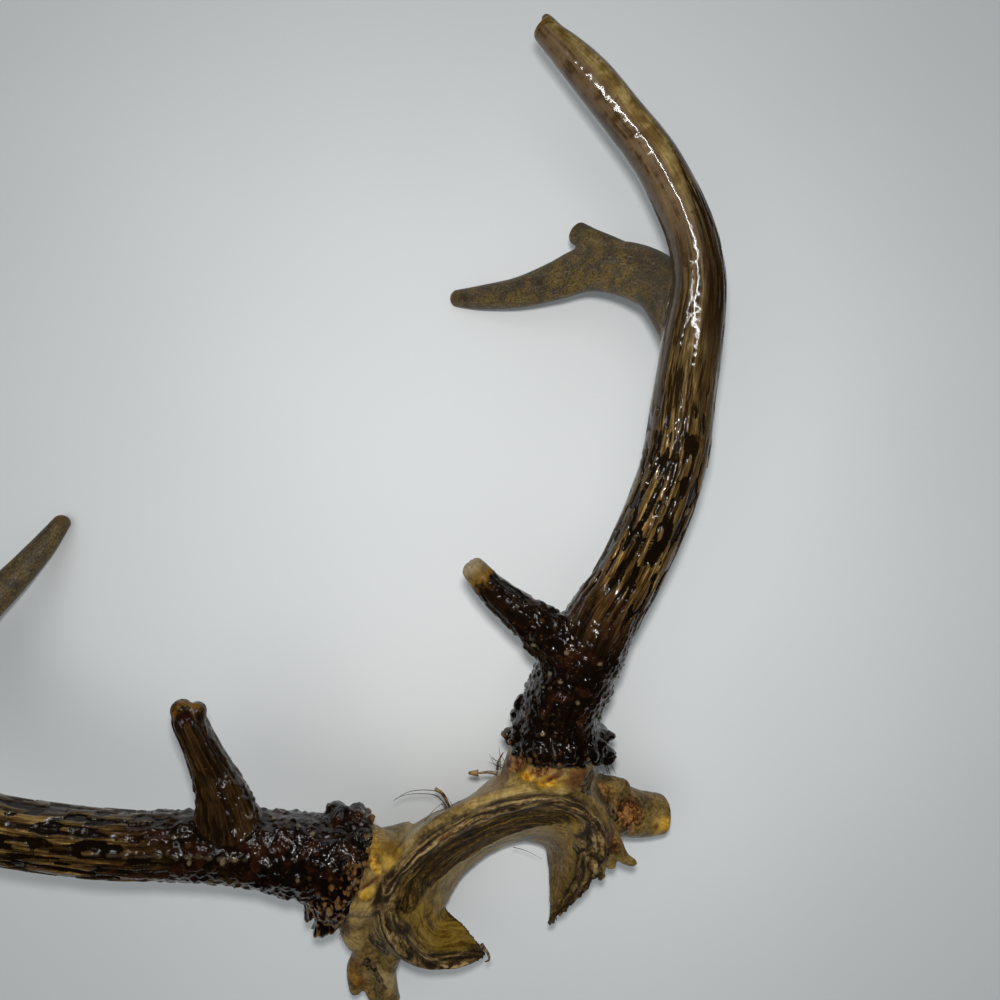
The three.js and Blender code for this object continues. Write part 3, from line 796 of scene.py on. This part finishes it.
def build_antler(side, beam, brow, fork, short_point, knobs, material):
    """One antler: its branches fused in one skin, filled at the crotches, then ribbed,
    pearled and ringed by the burr. Ribs are noise stretched along the grain; pearls are
    half spheres sqrt(1 - (d / r)^2) on scattered cells; the burr is a ring of larger
    ones that stand out from the beam's centre line."""
    right = side == "right"
    outer = 1 if right else -1
    branches = [Branch(beam, 0.25), Branch(brow, 0.55), Branch(fork, 1.0), Branch(short_point, 0.5)]
    lumps = [Branch(knob, 1.0) for knob in knobs]
    points, quads = fused([branch.shell() for branch in branches + lumps], ANTLER_VOXEL)
    pairs = neighbour_pairs(quads)
    seats = [branch.locate(points) for branch in branches]
    shares = np.stack([seat[2] for seat in seats], axis=1)
    crotch = 1 - rise(1.5, 2.6, np.sort(shares, axis=1)[:, 1])
    points = relaxed(points, pairs, 0.5, 3, rebound=1.04)
    points = filled(points, quads, pairs, crotch, 160)
    points = relaxed(points, pairs, 0.5, 2, rebound=1.04)

    owner = np.argmin(shares, axis=1)
    run, angle = (np.choose(owner, [seat[k] for seat in seats]) for k in (0, 1))
    radius = np.choose(owner, TYPICAL_RADIUS)
    sway = angle + (soft_noise(points / 30, 12) - 0.5) * 1.5 / radius
    grain = np.stack([radius * np.cos(sway) + 31.7, radius * np.sin(sway) + 18.1,
                      run + 500.0 * owner], axis=1)
    beam_run, beam_angle = seats[0][0], seats[0][1]
    length = branches[0].length
    on_beam, on_brow, on_fork = owner == 0, owner == 1, owner >= 2
    zone = np.clip(beam_run / length, 0, 1) - (0.0 if right else 0.07)
    dull = np.where(on_fork, rise(1.0, 1.35, shares[:, 0]), 0.0)
    facing = outer * np.cos(beam_angle)

    warp = np.stack([soft_noise(points / 8 + 3.1 * k, 20 + k) for k in range(3)], axis=1) - 0.5
    groove = rise(0.47, 0.55, layered_noise(grain / (1.45, 1.45, 9.0), 2, 30))
    rugged = window(0.1, 0.22, 0.4, 0.53, zone)
    rugged += (1 - rugged) * 0.5 * rise(0.35, 0.8, facing) * window(0.3, 0.5, 0.62, 0.8, zone)
    rugged = np.where(on_fork, 0.0, np.where(on_brow, 0.5, rugged)) * (1 - crotch * 0.5)

    pearled = 1 - rise(0.13, 0.24, zone)
    pearled = np.where(on_brow, 1 - rise(26, 58, run), np.where(on_fork, 0.0, pearled))
    gap, bead_id = nearest_cells((points + warp * 2) / PEARL_CELL, 60)
    bead = dome(gap, 0.3 + 0.22 * bead_id) * (bead_id > 0.35) * pearled
    seed_gap, _ = nearest_cells((points + warp) / SEED_CELL, 66)
    seed = dome(seed_gap, 0.5)
    lobe_gap, lobe_id = nearest_cells((points + warp * 3) / LOBE_CELL, 75)
    lobe = dome(lobe_gap, 0.62)
    on_burr = np.where(on_beam, 1 - rise(*BURR_REACH, beam_run), 0.0)
    crag = layered_noise(points / 4.2, 3, 90) - 0.5

    normal = outward(points, quads)
    nearest_along = branches[0].along[np.clip((beam_run / length * (Branch.RINGS - 1)).astype(int),
                                              0, Branch.RINGS - 1)]
    radial = unit(normal - dot(normal, nearest_along)[:, None] * nearest_along)
    end_face = np.abs(dot(normal, nearest_along)) > 0.8
    lift = (rugged * (0.4 - 0.95 * groove) + 0.75 * bead + crag * (2.6 * pearled + 0.14)
            + 0.25 * window(0.2, 0.3, 0.7, 0.8, zone))
    burr_lift = on_burr * (0.8 + 2.3 * lobe * (lobe_id > 0.15) + 0.6 * bead) * (~end_face)
    points = points + normal * (lift * (1 - on_burr * 0.6))[:, None] + radial * burr_lift[:, None]
    pit = np.zeros(len(points))
    if not right:
        seeded = (1 - rise(9, 16, beam_run + 8 * np.cos(beam_angle))) * on_beam * (~end_face)
        points = points + normal * (0.8 * seed * seeded)[:, None]
        bead = np.maximum(bead, seed * seeded)
        line = np.exp(-((beam_angle - BEAD_LINE_ANGLE) / BEAD_LINE_WIDTH) ** 2) * on_beam
        line = line * window(0.02, 0.06, 0.24, 0.3, zone)
        knots = 0.4 + 0.9 * soft_noise(np.stack([run / 2.2, run * 0, run * 0], axis=1), 8)
        points = points + normal * (line * knots)[:, None]
        bead = np.maximum(bead, line * knots)
        hole = np.linalg.norm((points - BROKEN_PIT) / (3.4, 3.4, 4.0), axis=1)
        pit = 1 - rise(0.5, 1.0, hole)
        points = points - normal * (1.8 * pit)[:, None]
    points[:, 2] = np.maximum(points[:, 2], CLEARANCE - OUTLINE_SHIFT[2])

    worn = np.choose(owner, [rise(branch.length - back, branch.length + past, run) * most
                             for branch, (back, past, most) in zip(branches, TIP_WEAR[side])])
    rust = np.where(on_beam, window(0.02, 0.08, 0.18, 0.26, zone), 0.35)
    pale = (bead_id > 0.93).astype(float)
    gilt = 0.7 * (1 - rise(3, 9, beam_run)) * on_beam
    if not right:
        gilt = seeded
        rust = np.where(on_beam, 1 - rise(0.18, 0.32, zone), 0.35)
        pale = np.maximum(pale, (line > 0.3) * 0.3)
    # The shade mark: painted shade on the upper beam's outer side, strongest at its far edge.
    start = -0.12 + 0.6 * rise(0.68, 0.82, zone)
    shade = rise(start, start + 0.3, facing) * window(0.48, 0.6, 0.76, 0.88, zone)
    shade = np.maximum(shade, rise(0.55, 0.85, facing) * rise(0.6, 0.7, zone))
    # Both sides of the beam, for the painted shade and reflection there.
    flank = rise(0.72, 0.98, np.abs(facing)) * window(0.15, 0.3, 0.85, 0.95, zone)
    marks = {"zone": np.where(on_brow, BROW_ZONE[side], np.clip(zone, 0, 1)), "groove": groove * rugged,
             "rugged": rugged, "bead": bead, "pale": pale, "gilt": gilt, "dull": dull,
             # root: the fork tine near the beam, for the painted shade there.
             "root": dull * (1 - rise(1.5, 3.2, shares[:, 0])), "worn": worn, "rust": rust,
             "shade": shade * on_beam, "side": facing * on_beam, "flank": flank * on_beam,
             "pit": pit, "grain": grain}
    piece = make_piece(f"{side}_antler", points, quads, marks, material)
    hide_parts(f"{side}_main_beam", f"{side}_brow_tine", f"{side}_fork_tine",
                f"{side}_short_point")
    return piece


# ---- skull plate

def vault_shell():
    """Grid of points: seven corners of the vault's section, each carried along the arch by
    a smooth curve, then joined round the section by a closed smooth curve."""
    rim, hollow, brow = np.array(VAULT, dtype=float).swapaxes(0, 1)
    inward = hollow - rim
    inward[:, 2] = 0
    width = np.linalg.norm(inward, axis=1, keepdims=True)
    inward = inward / np.maximum(width, 1e-6)
    inner_rim = rim + inward * np.minimum(RIM_THICKNESS, width / 3) - UP
    bulge = np.array(FOREHEAD_BULGE, dtype=float)[:, None]
    shoulder = rim - inward * np.minimum(SHOULDER_REACH, width / 5) - SHOULDER_DROP * UP
    forehead = (rim + brow) / 2 - inward * np.minimum(bulge, width / 4)
    floor = brow * 0.4 + hollow * 0.6
    floor[:, 2] = np.minimum(brow[:, 2] + 1, hollow[:, 2] - 1)
    corners = np.stack([rim, shoulder, forehead, brow, floor, hollow, inner_rim], axis=1)
    along = through(corners, VAULT_RINGS)
    sections = through(along.swapaxes(0, 1), VAULT_SIDES, closed=True, pull=SECTION_PULL)
    return sections.swapaxes(0, 1)


def patch(points, centre, reach, wobble):
    """A soft-edged spot: 1 within about half of its reach and 0 beyond it, with an edge that
    wobbles by the noise given."""
    distance = np.linalg.norm((points - centre) / reach, axis=1)
    return 1 - rise(0.55, 1.0, distance + wobble)


def build_skull_plate(material):
    """The skull plate: vault, pedicles, socket posts and splinters fused in one skin and
    cut off flat at the saw plane; its rim and hollow are layered by noise that is
    stretched along the arch."""
    stems = PEDICLES + SOCKET_POSTS
    pieces = [vault_shell()] + [Branch(stem, 0.3).shell(sides=28) for stem in stems] \
        + [Branch(splinter, 0.9).shell(sides=28) for splinter in SPLINTERS]
    points, quads = fused(pieces, PLATE_VOXEL)
    pairs = neighbour_pairs(quads)
    points = relaxed(points, pairs, 0.5, 4, rebound=1.04)
    normal = outward(points, quads)

    rim = through([station[0] for station in VAULT], RIM_POINTS)
    hollow = through([station[1] for station in VAULT], RIM_POINTS)
    rim_run = run_along(rim)
    nearest = nearest_on(rim, points)
    inward = hollow - rim
    inward[:, 2] = 0
    inward = unit(inward)[nearest]
    offset = points - rim[nearest]
    depth = dot(offset, inward)
    drop = rim[nearest, 2] - points[:, 2]
    reach = nearest / (RIM_POINTS - 1)
    wobble = layered_noise(points / 7, 3, 110) - 0.5
    inside = rise(-2.5, 0.5, depth + wobble * 2) * rise(-0.35, 0.1, normal[:, 2])
    near_hollow = np.linalg.norm(points - hollow[nearest_on(hollow, points)], axis=1)
    bed = np.stack([np.hypot(depth, drop), rim_run[nearest], points[:, 2]], axis=1)
    bed[:, 0] += wobble * 3
    strata = layered_noise(bed / (1.9, 30.0, 9.0), 2, 120)
    wing = np.maximum(1 - rise(0.2, 0.3, reach), rise(0.72, 0.8, reach))
    band = inside * (1 - rise(5, 9, depth + wobble * 4)) * (1 - rise(5, 9, drop))
    well = inside * (1 - band)
    jag = rise(0.82, 0.88, reach) * rise(-6, -1, depth) * (1 - rise(6, 9, drop))
    saw_teeth = layered_noise(points / 2.6, 2, 140) - 0.5
    lift = (inside * (strata - 0.5) * (1.7 - 1.0 * wing) + (layered_noise(points / 5, 3, 130) - 0.5) * 0.9
            + jag * saw_teeth * 3.0)
    spongy = patch(points, (61, -52, 42), (10, 12, 15), wobble * 0.6)
    pores, _ = nearest_cells(points / PORE_CELL, 150)
    lift += spongy * (1.6 * (layered_noise(points / 4, 2, 160) - 0.4) - 2.0 * np.clip(1 - pores / 0.42, 0, 1))
    points = points + normal * lift[:, None]
    points[:, 1] = np.maximum(points[:, 1], SAW_PLANE + CLEARANCE)
    points[:, 2] = np.maximum(points[:, 2], CLEARANCE - OUTLINE_SHIFT[2])

    line = np.zeros(len(points))
    open_wing = rise(6, 9, bed[:, 0]) * wing
    for number, place in enumerate(SEAMS):
        gap = np.abs(bed[:, 0] - place + (soft_noise(points / 9, 170 + number) - 0.5) * 3)
        break_up = rise(0.25, 0.5, soft_noise(bed / (6.0, 9.0, 9.0), 180 + number))
        line = np.maximum(line, (1 - rise(0.3, 1.0, gap)) * break_up)
    near_rim = inside * (1 - rise(7, 10, drop))
    line = line * rise(-3.0, -1.0, depth) * (1 - 0.8 * open_wing)
    line = line * (1 - 0.5 * rise(9, 13, bed[:, 0]))
    marks = {"bed": bed, "line": line, "band": band, "well": well * (1 - wing), "wing": well * wing,
             "brink": (1 - rise(0.5, 1.6, near_hollow + wobble * 2)) * inside
             + near_rim * 0.7 * (1 - rise(0.5, 1.5, np.abs(depth + 0.5 + wobble)))
             + near_rim * 0.9 * (1 - rise(0.4, 1.2, np.abs(depth - 5.5 + wobble * 2))) * wing}
    for name, spots in BONE_PATCHES.items():
        shares = [patch(points, spot[:3], spot[3:6], wobble * 0.6) * spot[6] for spot in spots]
        marks[name] = np.clip(np.maximum.reduce(shares), 0, 1)
    marks["tawny"] = np.maximum(marks["tawny"], spongy)
    piece = make_piece("skull_bone", points, quads, marks, material)
    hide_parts("skull_plate")
    return piece


# ---- hair and scraps

def strands(name, lines, material):
    """Thin round strands: each line is swept by a six-sided circle that narrows to its
    end, and all of them are one mesh. A line comes with its thickness."""
    rings, sides = 14, 6
    angle = np.linspace(0, 2 * np.pi, sides, endpoint=False)
    taper = np.linspace(1, 0.35, rings)[:, None, None]
    points, faces = [], []
    for number, (line, girth) in enumerate(lines):
        path = through(line, rings)
        along = unit(np.gradient(path, axis=0))
        across = unit(np.cross(along, np.array([0.13, 0.21, 0.97])))
        over = np.cross(across, along)
        ring = np.cos(angle)[None, :, None] * across[:, None] + np.sin(angle)[None, :, None] * over[:, None]
        points.append((path[:, None] + ring * taper * girth / 2).reshape(-1, 3))
        faces += grid_faces(rings, sides, number * rings * sides)
    mesh = bpy.data.meshes.new(name)
    mesh.from_pydata(((np.concatenate(points) + OUTLINE_SHIFT) * MM).tolist(), [], faces)
    mesh.polygons.foreach_set("use_smooth", np.ones(len(mesh.polygons), dtype=bool))
    mesh.materials.append(material)
    piece = placed(name, mesh)
    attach(piece, "root")
    return piece


def tuft(root, aim, count, length, spread, seed):
    """Lines of hair that leave a root towards an aim, each bent by its own random share."""
    random = np.random.default_rng(seed)
    lines = []
    for _ in range(count):
        start = np.array(root) + random.normal(0, spread * 0.25, 3)
        way = unit(np.array(aim, dtype=float) + random.normal(0, 0.35, 3))
        bend = random.normal(0, 0.25, 3)
        reach = length * random.uniform(0.5, 1.0)
        lines.append([start, start + reach * 0.5 * way, start + reach * (way + bend * 0.5)])
    return lines


# ---- camera, light and floor

def make_stage():
    """A plain pale floor under soft light from all round, a small lamp beside the lens
    and a broad one high up. A glint and three strips only put gloss on the varnish."""
    bpy.ops.mesh.primitive_plane_add(size=6, location=(0, 0, 0))
    floor = bpy.context.object
    floor.name = "floor"
    cloth = Finish("pale_floor", 0.9)
    cloth.feed(Base_Color=cloth.ramp(cloth.noise(cloth.place(), 3, 2), [
        (0.3, 0.57, 0.58, 0.57), (0.7, 0.62, 0.63, 0.62)]))
    floor.data.materials.append(cloth.material)

    world = bpy.data.worlds.new("studio")
    bpy.context.scene.world = world
    world.use_nodes = True
    sky = world.node_tree.nodes["Background"].inputs
    sky["Color"].default_value = (0.86, 0.93, 1.0, 1)
    sky["Strength"].default_value = 0.3
    world.cycles_visibility.glossy = False

    def lamp(name, place, aim, size, power, diffuse=True, glossy=True):
        """A disk lamp, or a strip when its size is a pair of lengths and its aim a turn."""
        data = bpy.data.lights.new(name, "AREA")
        made = placed(name, data)
        if isinstance(size, tuple):
            data.shape = "RECTANGLE"
            data.size, data.size_y = size
            made.rotation_euler = (0, 0, math.radians(aim))
        else:
            data.shape = "DISK"
            data.size = size
            made.rotation_euler = (Vector(aim) - Vector(place)).to_track_quat("-Z", "Y").to_euler()
        data.energy = power
        made.location = place
        made.visible_diffuse = diffuse
        made.visible_glossy = glossy

    lamp("key", BESIDE_LENS, (0.05, 0.0, 0.0), 0.022, 1.25, glossy=False)
    lamp("overhead", (-0.3, 0.2, 1.6), (0, 0, 0), 1.4, 6.5, glossy=False)
    lamp("glint", BESIDE_LENS, (0.05, 0.0, 0.0), 0.013, 0.4, diffuse=False)
    lamp("tip_strip", (0.065, 0.32, 0.42), -14.8, (0.176, 0.006), 0.45, diffuse=False)
    lamp("upper_strip", (0.16, 0.238, 0.42), -80.0, (0.119, 0.006), 0.32, diffuse=False)
    lamp("bend_strip", (0.221, 0.112, 0.42), -53.0, (0.169, 0.006), 0.32, diffuse=False)


def make_camera():
    """The scene's camera, looking straight down."""
    data = bpy.data.cameras.new("camera")
    data.lens = CAMERA_LENS
    data.clip_start = 0.01
    camera = placed("camera", data)
    camera.location = CAMERA_PLACE
    camera.rotation_euler = (0, 0, CAMERA_TURN)
    bpy.context.scene.camera = camera


bpy.context.scene.view_settings.view_transform = "Standard"
make_camera()
make_stage()
antler_finish = varnished_antler()
build_antler("right", RIGHT_BEAM, RIGHT_BROW, RIGHT_FORK, RIGHT_SHORT_POINT,
             TIP_KNOBS[:1] + RIGHT_BURR_KNOBS, antler_finish)
build_antler("left", LEFT_BEAM, LEFT_BROW, LEFT_FORK, LEFT_SHORT_POINT,
             TIP_KNOBS[1:] + LEFT_BURR_KNOBS + LEFT_BROW_LOBES, antler_finish)
build_skull_plate(varnished_bone())
fringe = (tuft((-70, -22, 62), (-0.9, -0.6, -0.3), 26, 8, 5, 1)
          + tuft((62, -22, 64), (0.5, -0.9, -0.2), 14, 8, 4, 2)
          + tuft((24, 0, 50), (-0.3, 0.9, 0.2), 10, 6, 6, 3)
          + tuft((-8, -5, 48), (-0.2, 0.9, 0.1), 7, 6, 5, 4))
strands("loose_hairs", HAIRS + [(line, FRINGE_GIRTH) for line in fringe], dry_hair())
strands("dried_scraps", SCRAPS, amber_scrap())
